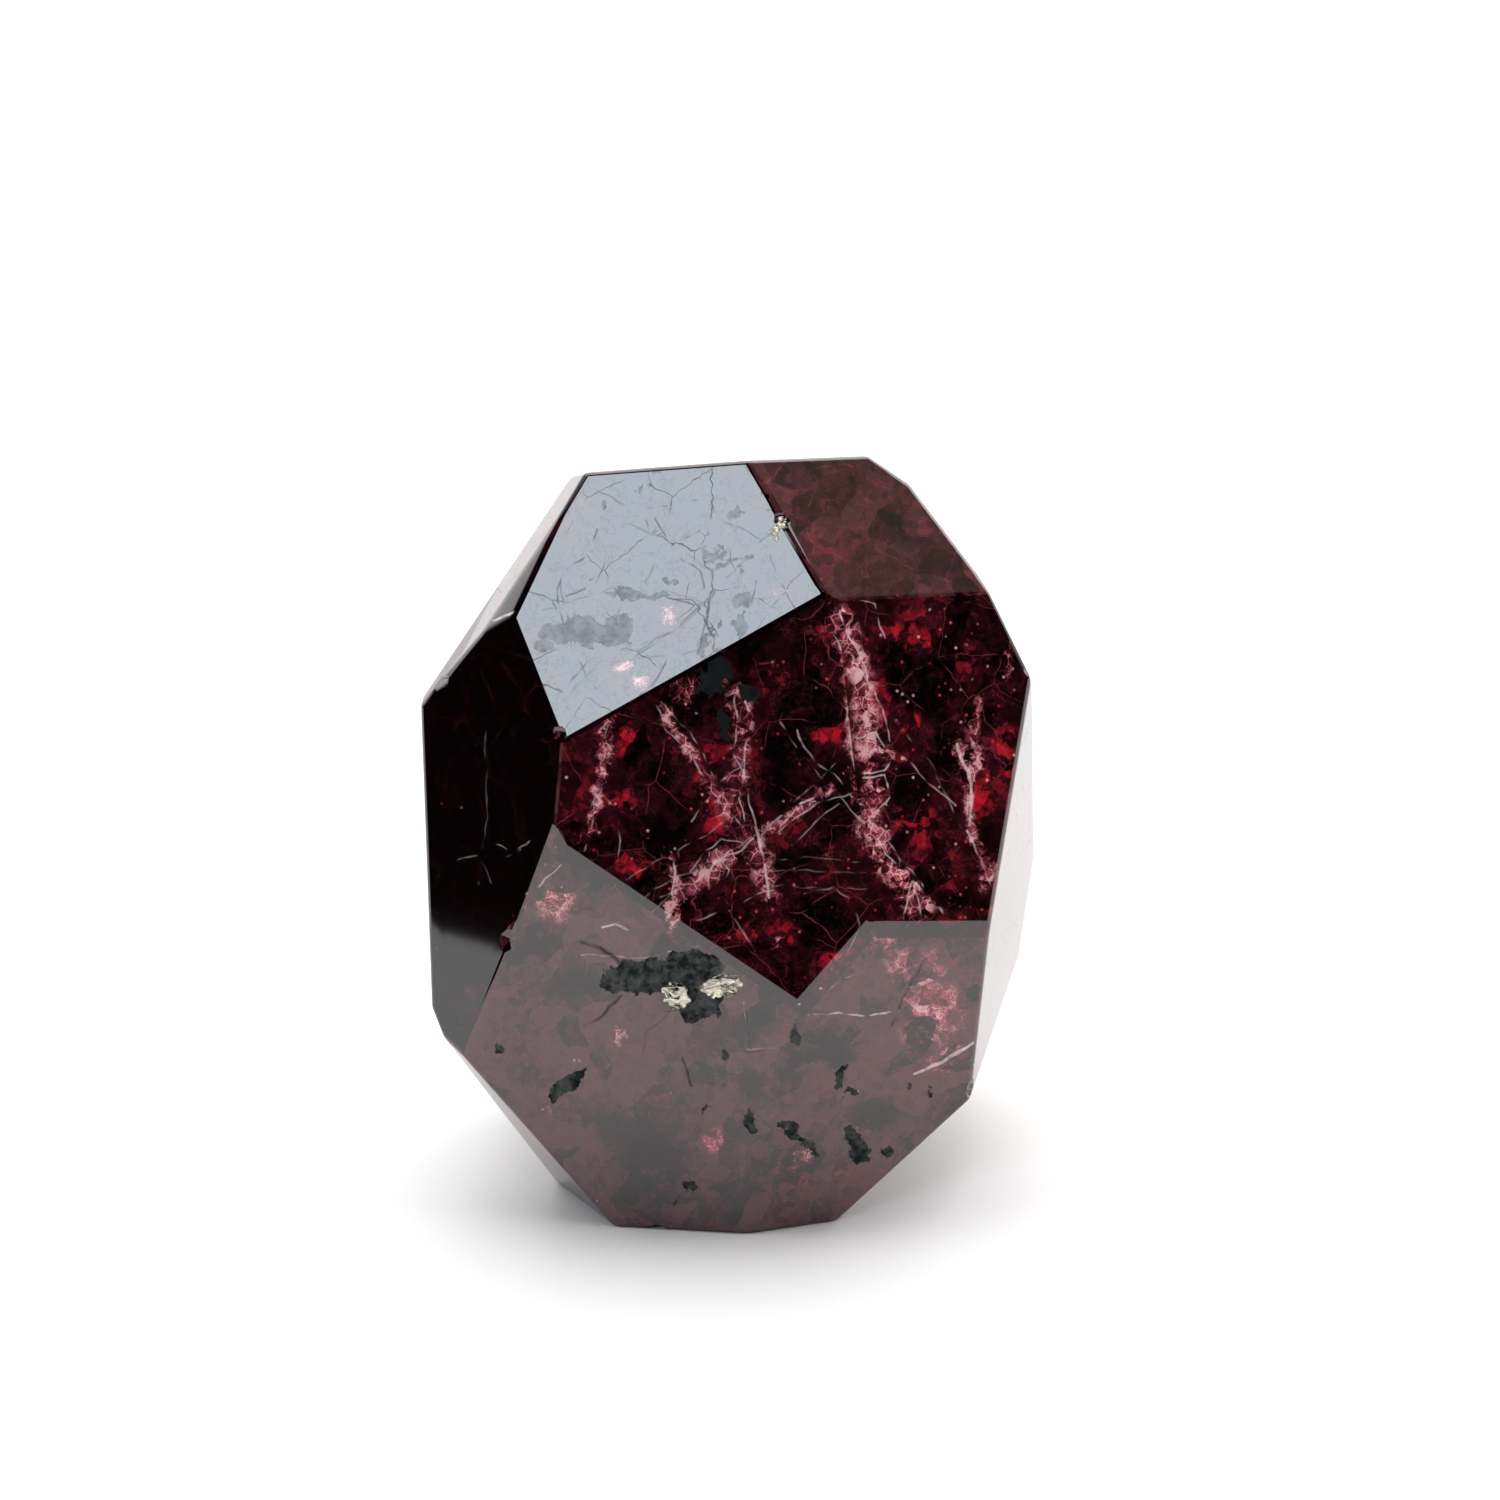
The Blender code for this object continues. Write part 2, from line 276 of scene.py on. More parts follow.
PINK_VEILS = {
    "brow": {
        "glow_a": (-3.7, 14.1, 0.7, 0.7, 0),
        "glow_b": (-5.3, 10.1, 0.9, 0.6, 20),
        "glow_c": (3.0, 15.3, 0.8, 0.5, 10),
        "glow_d": (-6.6, 11.0, 0.8, 0.6, 20),
    },
    "front": {
        "brow_foot": (-2.7, 9.7, 1.0, 1.3, -25),
        "flecks": (2.9, -6.0, 0.5, 0.9, -20),
        "left_foot": (-3.5, -4.7, 0.6, 0.9, 0),
        "corner": (6.3, 13.6, 0.8, 1.0, 20),
        "fan": (10.2, -4.7, 1.0, 1.1, 40),
    },
    "right": {
        "polygon_a": (8.9, 5.5, 1.3, 1.2, 10),
        "polygon_b": (9.0, 3.2, 1.1, 1.0, -10),
        "fan_inner": (11.6, -3.8, 1.2, 1.2, 20),
        "edge": (17.3, 11.4, 0.4, 1.4, 0),
        "low": (15.9, -1.8, 0.7, 1.3, 10),
    },
    "toe": {
        "left_foot": (-3.5, -5.4, 0.5, 1.0, 0),
        "left_foot_dot": (-1.7, -6.0, 0.3, 0.5, 0),
        "fan": (9.4, -6.0, 1.6, 0.6, 30),
        "low_right": (11.9, -8.0, 0.8, 0.8, 0),
        "low_left": (-6.7, -11.9, 0.5, 0.7, 0),
        "wedge_foot": (-1.0, -18.5, 0.9, 1.1, 30),
        "leaf_foot": (4.6, -19.7, 1.1, 0.6, 10),
        "edge": (-10.6, -3.6, 1.4, 1.6, 30),
        "bar_smear": (-11.3, -16.2, 0.5, 0.8, 10),
        "rim": (1.6, -7.4, 1.4, 0.5, -20),
        "peak": (11.6, -7.4, 2.2, 1.5, 0),
        "low_right_haze": (12.6, -10.6, 2.6, 2.2, 20),
        "streak": (13.4, -13.5, 2.0, 0.7, 28),
    },
    "side": {
        "chip_a": (-11.9, -3.6, 0.8, 1.0, 0),
        "chip_b": (-13.2, -5.7, 0.8, 1.2, 10),
    },
}
# Ribbons of milky pink fractures: their points in mm, and their width in mm
PINK_RIBBONS = {
    "front": {
        "vein": ([(0.5, 9.4), (0.66, 7.4), (0.6, 5.4), (0.1, 3.0), (0.9, 1.0), (2.0, -1.2),
                  (2.5, -3.0)], 0.85),
        "vein_wide": ([(0.3, 4.0), (-0.1, 2.6), (0.8, 0.9)], 1.2),
        "column": ([(6.4, 14.2), (7.0, 12.4), (7.6, 10.4), (7.8, 8.0), (8.0, 5.6), (8.3, 3.2),
                    (8.6, 0.6), (9.6, -1.6)], 0.9),
        "web": ([(1.5, 0.5), (0.1, -0.3), (-1.2, -1.6), (-2.6, -2.6)], 0.9),
        "diagonal": ([(-4.2, 8.6), (-3.0, 6.6), (-1.5, 4.4), (-0.2, 2.2)], 0.45),
        "blobs": ([(-3.7, -0.6), (-3.2, -2.6), (-3.5, -4.6)], 0.5),
        "arm": ([(2.4, 0.9), (4.4, 2.4), (6.2, 3.6)], 0.5),
        "cluster": ([(-7.4, 8.2), (-7.7, 5.6), (-8.1, 3.0), (-8.8, 0.4)], 0.5),
    },
    "right": {
        "column": ([(6.8, 14.2), (7.4, 12.4), (8.1, 10.6), (8.3, 8.6), (8.5, 6.5), (8.9, 5.1),
                    (8.8, 3.4), (8.7, 1.4), (9.9, -1.4), (11.2, -2.8)], 1.0),
        "vein": ([(14.0, 6.4), (14.9, 4.2), (15.0, 1.2), (15.9, -1.2)], 0.5),
        "upper": ([(15.6, 9.0), (15.1, 6.6), (15.4, 4.8)], 0.45),
    },
}
NIGHT_ZONES = {
    "front": {
        "centre": (3.7, 6.2, 2.0, 2.4, 0),
        "centre_low": (3.0, 3.6, 1.3, 2.0, 0),
        "foot": (5.8, -4.8, 2.2, 2.0, 0),
        "upper": (4.6, 9.2, 2.2, 0.8, 0),
        "left": (-4.2, 0.4, 1.4, 1.8, 30),
        "left_high": (-2.6, 7.6, 0.7, 1.4, -30),
        "left_middle": (-3.9, 4.6, 1.2, 1.3, 0),
        "low_left": (-5.4, -3.0, 1.6, 0.8, -30),
        "low": (4.2, -0.8, 2.0, 0.9, 10),
    },
    "right": {
        "low": (11.2, 3.4, 1.5, 1.5, 0),
        "high": (12.2, 9.6, 1.8, 2.6, 0),
        "foot": (14.0, -3.4, 1.6, 0.8, 0),
        "column": (10.5, 10.6, 1.2, 2.6, 15),
        "edge": (13.2, 5.6, 1.0, 2.2, 10),
    },
    "toe": {
        "grey_a": (0.9, -11.4, 2.2, 1.3, 0),
        "grey_b": (1.3, -14.6, 1.2, 1.8, 0),
        "grey_c": (-6.2, -18.4, 4.2, 2.2, -30),
        "grey_d": (6.5, -13.0, 2.6, 1.2, 0),
        "grey_e": (-9.6, -8.8, 2.0, 1.8, 0),
        "grey_f": (9.0, -17.0, 2.6, 1.4, 0),
    },
}

# Pyrite patches at the toe: middle in mm, half sizes in mm, a turn in degrees, and their grains
PYRITE_PATCHES = {
    "pyrite_left": (-3.3, -9.3, 0.85, 0.78, -20, 64),
    "pyrite_right": (-0.45, -8.7, 1.25, 0.70, 8, 84),
}
# Crumbly grains at the edge between brow and crown: from the stone's centre in mm
EDGE_GRAIN_START = Vector((2.70, -8.10, 23.15))
EDGE_GRAIN_END = Vector((3.30, -7.55, 23.85))
EDGE_GRAINS = 34
EDGE_GRAIN_SPREAD = 0.27

# The turn and tilt in degrees of the facets that a zone covers, as they are cut
ZONE_FACETS = {
    "brow": [(-11, 29)],
    "front": [(0, 12)],
    "right": [(22, 13.5)],
    "crown": [(25, 42.5)],
    "toe": [(-7.5, 1), (19.5, -5), (-14.5, 5.5)],
    "side": [(-38.5, 12.5), (-56.5, 34.5)],
    "plain": [(-82.5, 35), (-98, -4.5), (-60.8, -34.3), (-95.9, -28.5), (77.8, -5.7),
              (106.3, -11.7), (92, -49), (-170, 68.5), (130, 44.5), (121.5, 22.5), (112, 23),
              (-113.5, 29), (-145, 8), (-150, 40), (168, 36), (178, 4), (-172, -26), (0, -90)],
}

# How many of each of the stone's inner structures, and of its painted glints, lie along one mm
CLOUDS_PER_MM = 0.16
SHARDS_PER_MM = 0.50
WISPS_PER_MM = 0.42
SEAMS_PER_MM = 1.3
CRUMBS_PER_MM = 1.9
GRAIN_PER_MM = 2.6
PAINTED_GLINTS_PER_MM = 3.0
# The colours of the painted glints, specks of painted reflection that are mostly red, some pink or
# white, and a few orange or violet
PAINTED_GLINT_TINTS = [
    (0.0, (0.85, 0.02, 0.03)), (0.5, (0.90, 0.08, 0.07)), (0.6, (0.90, 0.42, 0.45)),
    (0.8, (0.90, 0.74, 0.72)), (0.9, (0.85, 0.42, 0.16)), (1.0, (0.50, 0.52, 0.90)),
]
# How far the crumbs' own facets lean, and the gloss under the polish
CRUMB_LEAN = 0.8
INNER_ROUGHNESS = 0.42

# How each zone differs: light inside, milky share, strength of the fine net, share of painted
# glints, and glow
ZONE_LOOKS = {
    "brow": (0.02, 0.0, 0.0, 0.1, 0.6),
    "front": (0.26, 0.03, 0.26, 2.4, 1.0),
    "right": (0.27, 0.03, 0.22, 5.0, 1.0),
    "crown": (0.28, 0.40, 0.20, 0.6, 1.0),
    "toe": (0.34, 0.86, 0.12, 0.6, 1.0),
    "side": (-0.30, 0.0, 0.05, 0.6, 0.5),
    "plain": (0.28, 0.30, 0.25, 0.8, 0.8),
}


def addon_classes():
    """All classes, in the order in which they are registered."""
    return (GarnetStoneSettings, GarnetFinishSettings, GarnetStageSettings, GARNET_OT_add_stage,
            GARNET_OT_add_stone, GARNET_OT_add_pyrite, GARNET_OT_add_edge_grain,
            GARNET_PT_sidebar)


def colour_property(name, description, default):
    return bpy.props.FloatVectorProperty(
        name=name, description=description, default=default, subtype="COLOR", size=3, min=0, max=1)


def length_property(name, description, default):
    return bpy.props.FloatProperty(
        name=name, description=description, default=default, subtype="DISTANCE", unit="LENGTH",
        precision=5)


def angle_property(name, description, degrees):
    return bpy.props.FloatProperty(
        name=name, description=description, default=math.radians(degrees), subtype="ANGLE",
        unit="ROTATION")


def plain_property(name, description, default):
    return bpy.props.FloatProperty(name=name, description=description, default=default)


class GarnetStoneSettings(bpy.types.PropertyGroup):
    """Sizes in the stone and its grains."""
    merge_distance: length_property("Merge", "How close points are to be merged", 0.001 * MM)
    flat_angle: angle_property("Flat", "Faces that meet at less than this are one facet", 0.4)
    smooth_angle: angle_property("Smooth", "Edges sharper than this stay crisp", 24)
    grain_size: length_property("Grain", "Radius of a pyrite grain", 0.20 * MM)
    grain_voxel: length_property("Voxel", "How finely the grains are melted together", 0.045 * MM)
    grain_rough: length_property("Roughness", "How rough the grains are", 0.10 * MM)
    grain_stand: length_property("Stand", "How far the pyrite stands out of the polish", 0.012 * MM)


class GarnetFinishSettings(bpy.types.PropertyGroup):
    """Colours and gloss of the garnet and its inclusions."""
    night: colour_property("Night", "The darkest garnet", (0.0022, 0.0005, 0.0007))
    wine: colour_property("Wine", "Ordinary garnet", (0.045, 0.0040, 0.0080))
    ruby: colour_property("Ruby", "Garnet with light in it", (0.58, 0.011, 0.024))
    rose: colour_property("Rose", "Milky fractured garnet", (0.64, 0.115, 0.155))
    frost: colour_property("Frost", "Open fractures", (0.93, 0.76, 0.75))
    haze: colour_property("Haze", "Dull clouded garnet", (0.115, 0.034, 0.040))
    mineral: colour_property("Mineral", "Dark inclusions", (0.012, 0.016, 0.016))
    pyrite: colour_property("Pyrite", "Pale metallic inclusions", (0.80, 0.76, 0.63))
    polish: plain_property("Polish", "Roughness of the polish", 0.03)
    index: plain_property("Index", "Refractive index of garnet", 1.78)


class GarnetStageSettings(bpy.types.PropertyGroup):
    """Floor, lights and camera."""
    floor_colour: colour_property("Floor", "Colour of the floor", (0.93, 0.925, 0.92))
    floor_left: length_property("Left", "How far the floor reaches to the left", 0.45)
    floor_right: length_property("Right", "How far the floor reaches to the right", 0.70)
    floor_front: length_property("Front", "How far the floor reaches to the front", 0.50)
    floor_back: length_property("Back", "How far the floor reaches to the back", 1.60)
    softbox_size: length_property("Softbox", "Side of the softbox", 0.26)
    softbox_distance: length_property("Distance", "From the stone to the softbox", 1.0)
    softbox_height: angle_property("Height", "Height of the softbox above the horizon", 37.7)
    softbox_turn: angle_property("Turn", "Turn of the softbox, + to the right", -25.6)
    softbox_radiance: plain_property("Radiance", "Brightness of the softbox", 6.6)
    softbox_colour: colour_property("Softbox", "Colour of the softbox", (0.82, 0.90, 1.0))
    dome_radiance: plain_property("Dome", "Brightness of the studio overhead and behind", 3.3)
    backdrop_radiance: plain_property("Backdrop", "Brightness low behind the stone", 2.3)
    front_colour: colour_property("Front", "Colour of the room in front", (0.004, 0.004, 0.004))
    warm_colour: colour_property("Warm side", "Colour above on the right", (0.34, 0.26, 0.22))
    seen_colour: colour_property("Background", "Colour that the camera sees", (0.93, 0.92, 0.92))
    camera_distance: length_property("Camera", "From the stone's centre to the camera", 0.373868)
    camera_height: length_property("Height", "Height of the camera above the centre", 0.14233)
    camera_side: length_property("Side", "Camera's place to the right", 0.001277)
    camera_tilt: angle_property("Tilt", "Camera's tilt from straight down", 70)
    camera_lens: plain_property("Lens", "Focal length in mm on a 36 mm frame", 150.34)


def settings(name):
    return getattr(bpy.context.scene, name)


def deselect_all():
    if bpy.context.object and bpy.context.object.mode != "OBJECT":
        bpy.ops.object.mode_set(mode="OBJECT")
    bpy.ops.object.select_all(action="DESELECT")


def activate(piece):
    deselect_all()
    piece.select_set(True)
    bpy.context.view_layer.objects.active = piece


def dress(piece, materials, *replaced):
    """Give a finished piece its materials, its body and the node it stands for."""
    piece.data.materials.clear()
    for material in materials:
        piece.data.materials.append(material)
    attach(piece, BODY)
    if replaced:
        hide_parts(*replaced)


def facet_normal(turn, tilt):
    """The direction of a turn to the right of the front and a tilt upwards, both in degrees."""
    turn, tilt = math.radians(turn), math.radians(tilt)
    level = Vector((math.sin(turn), -math.cos(turn), 0)) * math.cos(tilt)
    return level + Vector((0, 0, math.sin(tilt)))


# Node helpers


def add_node(tree, kind, **values):
    node = tree.nodes.new(kind)
    for name, value in values.items():
        setattr(node, name, value)
    return node


def feed(tree, value, socket):
    """Link a socket to a socket, or write a plain value on it."""
    if isinstance(value, bpy.types.NodeSocket):
        tree.links.new(value, socket)
    else:
        socket.default_value = value


def maths(tree, operation, first, second=0.5, third=0.5):
    node = add_node(tree, "ShaderNodeMath", operation=operation)
    for socket, value in zip(node.inputs, (first, second, third)):
        feed(tree, value, socket)
    return node.outputs[0]


def limited(tree, value):
    """Keep a value between 0 and 1."""
    node = add_node(tree, "ShaderNodeClamp")
    tree.links.new(value, node.inputs[0])
    return node.outputs[0]


def vector_maths(tree, operation, first, second=(0, 0, 0), third=(0, 0, 0), scale=1.0):
    """A vector node's result. Dot products and distances give a plain value."""
    node = add_node(tree, "ShaderNodeVectorMath", operation=operation)
    for socket, value in zip(node.inputs, (first, second, third)):
        feed(tree, value, socket)
    if operation == "SCALE":
        feed(tree, scale, node.inputs["Scale"])
    scalar = operation in {"DOT_PRODUCT", "DISTANCE"}
    return node.outputs["Value" if scalar else "Vector"]


def steps(tree, value, low, high, new_low=0.0, new_high=1.0):
    """Go smoothly from one value to another while the input goes from low to high."""
    node = add_node(tree, "ShaderNodeMapRange", clamp=False, interpolation_type="SMOOTHSTEP")
    for name, number in (("Value", value), ("From Min", low), ("From Max", high),
                         ("To Min", new_low), ("To Max", new_high)):
        feed(tree, number, node.inputs[name])
    return node.outputs["Result"]


def blend(tree, factor, first, second):
    """Mix two colours."""
    node = add_node(tree, "ShaderNodeMix", data_type="RGBA")
    feed(tree, factor, node.inputs[0])
    for value, socket in ((first, node.inputs[6]), (second, node.inputs[7])):
        feed(tree, value if isinstance(value, bpy.types.NodeSocket) else (*value, 1), socket)
    return node.outputs[2]


def mixed(first, second, share):
    """A colour part of the way from one colour to another."""
    return tuple(a + (b - a) * share for a, b in zip(first, second))


def ramp(tree, value, stops):
    """A colour ramp from its stops, each a place and a colour."""
    node = add_node(tree, "ShaderNodeValToRGB")
    tree.links.new(value, node.inputs[0])
    elements = node.color_ramp.elements
    while len(elements) < len(stops):
        elements.new(0.5)
    for element, (position, colour) in zip(elements, stops):
        element.position = position
        element.color = (*colour, 1)
    return node.outputs["Color"]


def channels(tree, colour):
    """The three parts of a colour."""
    node = add_node(tree, "ShaderNodeSeparateColor")
    tree.links.new(colour, node.inputs[0])
    return node.outputs


def noise_texture(tree, place, scale, detail, roughness):
    node = add_node(tree, "ShaderNodeTexNoise")
    for name, value in (("Vector", place), ("Scale", scale), ("Detail", detail),
                        ("Roughness", roughness)):
        feed(tree, value, node.inputs[name])
    return node


def cells(tree, place, scale, feature="F1"):
    node = add_node(tree, "ShaderNodeTexVoronoi", feature=feature)
    feed(tree, place, node.inputs["Vector"])
    feed(tree, scale, node.inputs["Scale"])
    return node


def new_group(name, inputs, outputs):
    """A shader node group with named sockets. Returns its tree, its inputs and its end node."""
    tree = bpy.data.node_groups.new(name, "ShaderNodeTree")
    for label, kind, default in inputs:
        socket = tree.interface.new_socket(name=label, in_out="INPUT", socket_type=kind)
        socket.default_value = default
    for label, kind in outputs:
        tree.interface.new_socket(name=label, in_out="OUTPUT", socket_type=kind)
    start = tree.nodes.new("NodeGroupInput")
    end = tree.nodes.new("NodeGroupOutput")
    return tree, start.outputs, end.inputs


def place_group(tree, group, **values):
    node = tree.nodes.new("ShaderNodeGroup")
    node.node_tree = group
    for name, value in values.items():
        feed(tree, value, node.inputs[name.replace("_", " ")])
    return node.outputs


VECTOR = "NodeSocketVector"
FLOAT = "NodeSocketFloat"
COLOUR = "NodeSocketColor"


# Node groups


def front_plan_group():
    """Turns a place on the stone into its place on the front plan."""
    tree, start, end = new_group("Front plan", [("Place", VECTOR, (0, 0, 0))], [("Plan", VECTOR)])
    across = vector_maths(tree, "DOT_PRODUCT", start["Place"], (1, 0, 0))
    up = vector_maths(tree, "DOT_PRODUCT", start["Place"], PLAN_UP)
    plan = add_node(tree, "ShaderNodeCombineXYZ")
    tree.links.new(across, plan.inputs["X"])
    tree.links.new(up, plan.inputs["Y"])
    tree.links.new(plan.outputs[0], end["Plan"])
    return tree


def crack_stroke_group():
    """One straight stroke of a crack, joined to those before it."""
    tree, start, end = new_group(
        "Crack stroke",
        [("Plan", VECTOR, (0, 0, 0)), ("Before", FLOAT, 0.0), ("Start", VECTOR, (0, 0, 0)),
         ("Along", VECTOR, (1, 0, 0)), ("Unit", VECTOR, (1, 0, 0)), ("Peak", FLOAT, 1.0),
         ("Slope", FLOAT, -10.0)],
        [("Mask", FLOAT)])
    gap = vector_maths(tree, "SUBTRACT", start["Plan"], start["Start"])
    share = vector_maths(tree, "DOT_PRODUCT", gap, start["Unit"])
    nearest = vector_maths(tree, "SCALE", start["Along"], scale=limited(tree, share))
    distance = vector_maths(tree, "DISTANCE", gap, nearest)
    mask = maths(tree, "MULTIPLY_ADD", distance, start["Slope"], start["Peak"])
    tree.links.new(maths(tree, "MAXIMUM", mask, start["Before"]), end["Mask"])
    return tree


def patch_group():
    """One ragged patch, joined to those before it: 1 at its middle, 0 on its outline."""
    tree, start, end = new_group(
        "Patch",
        [("Plan", VECTOR, (0, 0, 0)), ("Before", FLOAT, 0.0), ("Middle", VECTOR, (0, 0, 0)),
         ("Long way", VECTOR, (1, 0, 0)), ("Short way", VECTOR, (0, 1, 0))],
        [("Depth", FLOAT)])
    gap = vector_maths(tree, "SUBTRACT", start["Plan"], start["Middle"])
    along = vector_maths(tree, "DOT_PRODUCT", gap, start["Long way"])
    aside = vector_maths(tree, "DOT_PRODUCT", gap, start["Short way"])
    squared = maths(tree, "MULTIPLY_ADD", aside, aside, maths(tree, "MULTIPLY", along, along))
    depth = maths(tree, "SUBTRACT", 1.0, squared)
    tree.links.new(maths(tree, "MAXIMUM", depth, start["Before"]), end["Depth"])
    return tree


def cracks_group(name, cracks, stroke):
    """All the cracks of one kind as one mask."""
    tree, start, end = new_group(name, [("Plan", VECTOR, (0, 0, 0))], [("Mask", FLOAT)])
    mask = 0.0
    for points, width in cracks.values():
        peak = min(1.0, width / HAIRLINE)
        slope = -peak / max(width, HAIRLINE)
        for first, second in zip(points, points[1:]):
            along = Vector(second) - Vector(first)
            mask = place_group(
                tree, stroke, Plan=start["Plan"], Before=mask, Start=(*first, 0),
                Along=(*along, 0), Unit=(*(along / along.length_squared), 0), Peak=peak,
                Slope=slope)["Mask"]
    tree.links.new(mask, end["Mask"])
    return tree


def patches_group(name, patches, patch):
    """All the patches of one kind: above 0 inside a patch, 1 at its middle."""
    tree, start, end = new_group(name, [("Plan", VECTOR, (0, 0, 0))], [("Depth", FLOAT)])
    depth = -1.0
    for across, up, half_width, half_height, turn in patches.values():
        cosine, sine = math.cos(math.radians(turn)), math.sin(math.radians(turn))
        depth = place_group(
            tree, patch, Plan=start["Plan"], Before=depth, Middle=(across, up, 0),
            Long_way=(cosine / half_width, sine / half_width, 0),
            Short_way=(-sine / half_height, cosine / half_height, 0))["Depth"]
    tree.links.new(depth, end["Depth"])
    return tree


def ragged_group():
    """Pushes a place about by noise, so that what is drawn there gets a ragged outline."""
    tree, start, end = new_group(
        "Ragged",
        [("Place", VECTOR, (0, 0, 0)), ("Plan", VECTOR, (0, 0, 0)), ("Scale", FLOAT, 1.0),
         ("Push", FLOAT, 0.3), ("Detail", FLOAT, 2.0)],
        [("Plan", VECTOR)])
    wobble = noise_texture(tree, start["Place"], start["Scale"], start["Detail"], 0.6)
    centred = vector_maths(tree, "SUBTRACT", wobble.outputs["Color"], (0.5, 0.5, 0.5))
    pushed = vector_maths(tree, "SCALE", centred, scale=start["Push"])
    tree.links.new(vector_maths(tree, "ADD", start["Plan"], pushed), end["Plan"])
    return tree


def fracture_net_group():
    """A net of fine straight fractures that comes and goes through the stone."""
    tree, start, end = new_group(
        "Fracture net",
        [("Place", VECTOR, (0, 0, 0)), ("Scale", FLOAT, 0.3), ("Width", FLOAT, 0.03),
         ("Share", FLOAT, 0.5)],
        [("Mask", FLOAT)])
    net = cells(tree, start["Place"], start["Scale"], feature="DISTANCE_TO_EDGE")
    line = steps(tree, net.outputs["Distance"], 0.0, start["Width"], 1.0, 0.0)
    patches = maths(tree, "MULTIPLY", start["Scale"], 1.7)
    patchy = noise_texture(tree, start["Place"], patches, 2.0, 0.6)
    present = steps(tree, patchy.outputs["Fac"], start["Share"],
                    maths(tree, "ADD", start["Share"], 0.14))
    tree.links.new(maths(tree, "MULTIPLY", line, present), end["Mask"])
    return tree


def painted_glints_group():
    """Painted glints: small bright specks of painted reflection, each in its own cell."""
    tree, start, end = new_group(
        "Painted glints",
        [("Place", VECTOR, (0, 0, 0)), ("Scale", FLOAT, 2.0), ("Rarity", FLOAT, 0.9),
         ("Size", FLOAT, 0.3)],
        [("Mask", FLOAT), ("Tint", COLOUR)])
    painted_glint_spots = cells(tree, start["Place"], start["Scale"])
    chance = channels(tree, painted_glint_spots.outputs["Color"])
    chosen = steps(tree, chance[0], start["Rarity"], maths(tree, "ADD", start["Rarity"], 0.02))
    tree.links.new(ramp(tree, chance[1], PAINTED_GLINT_TINTS), end["Tint"])
    small = steps(tree, painted_glint_spots.outputs["Distance"], 0.0, start["Size"], 1.0, 0.0)
    tree.links.new(maths(tree, "MULTIPLY", chosen, small), end["Mask"])
    return tree


def thin_line(tree, value, width):
    """A thin line where a noise crosses its middle value."""
    away = maths(tree, "ABSOLUTE", maths(tree, "SUBTRACT", value, 0.5))
    return steps(tree, away, 0.0, width, 1.0, 0.0)


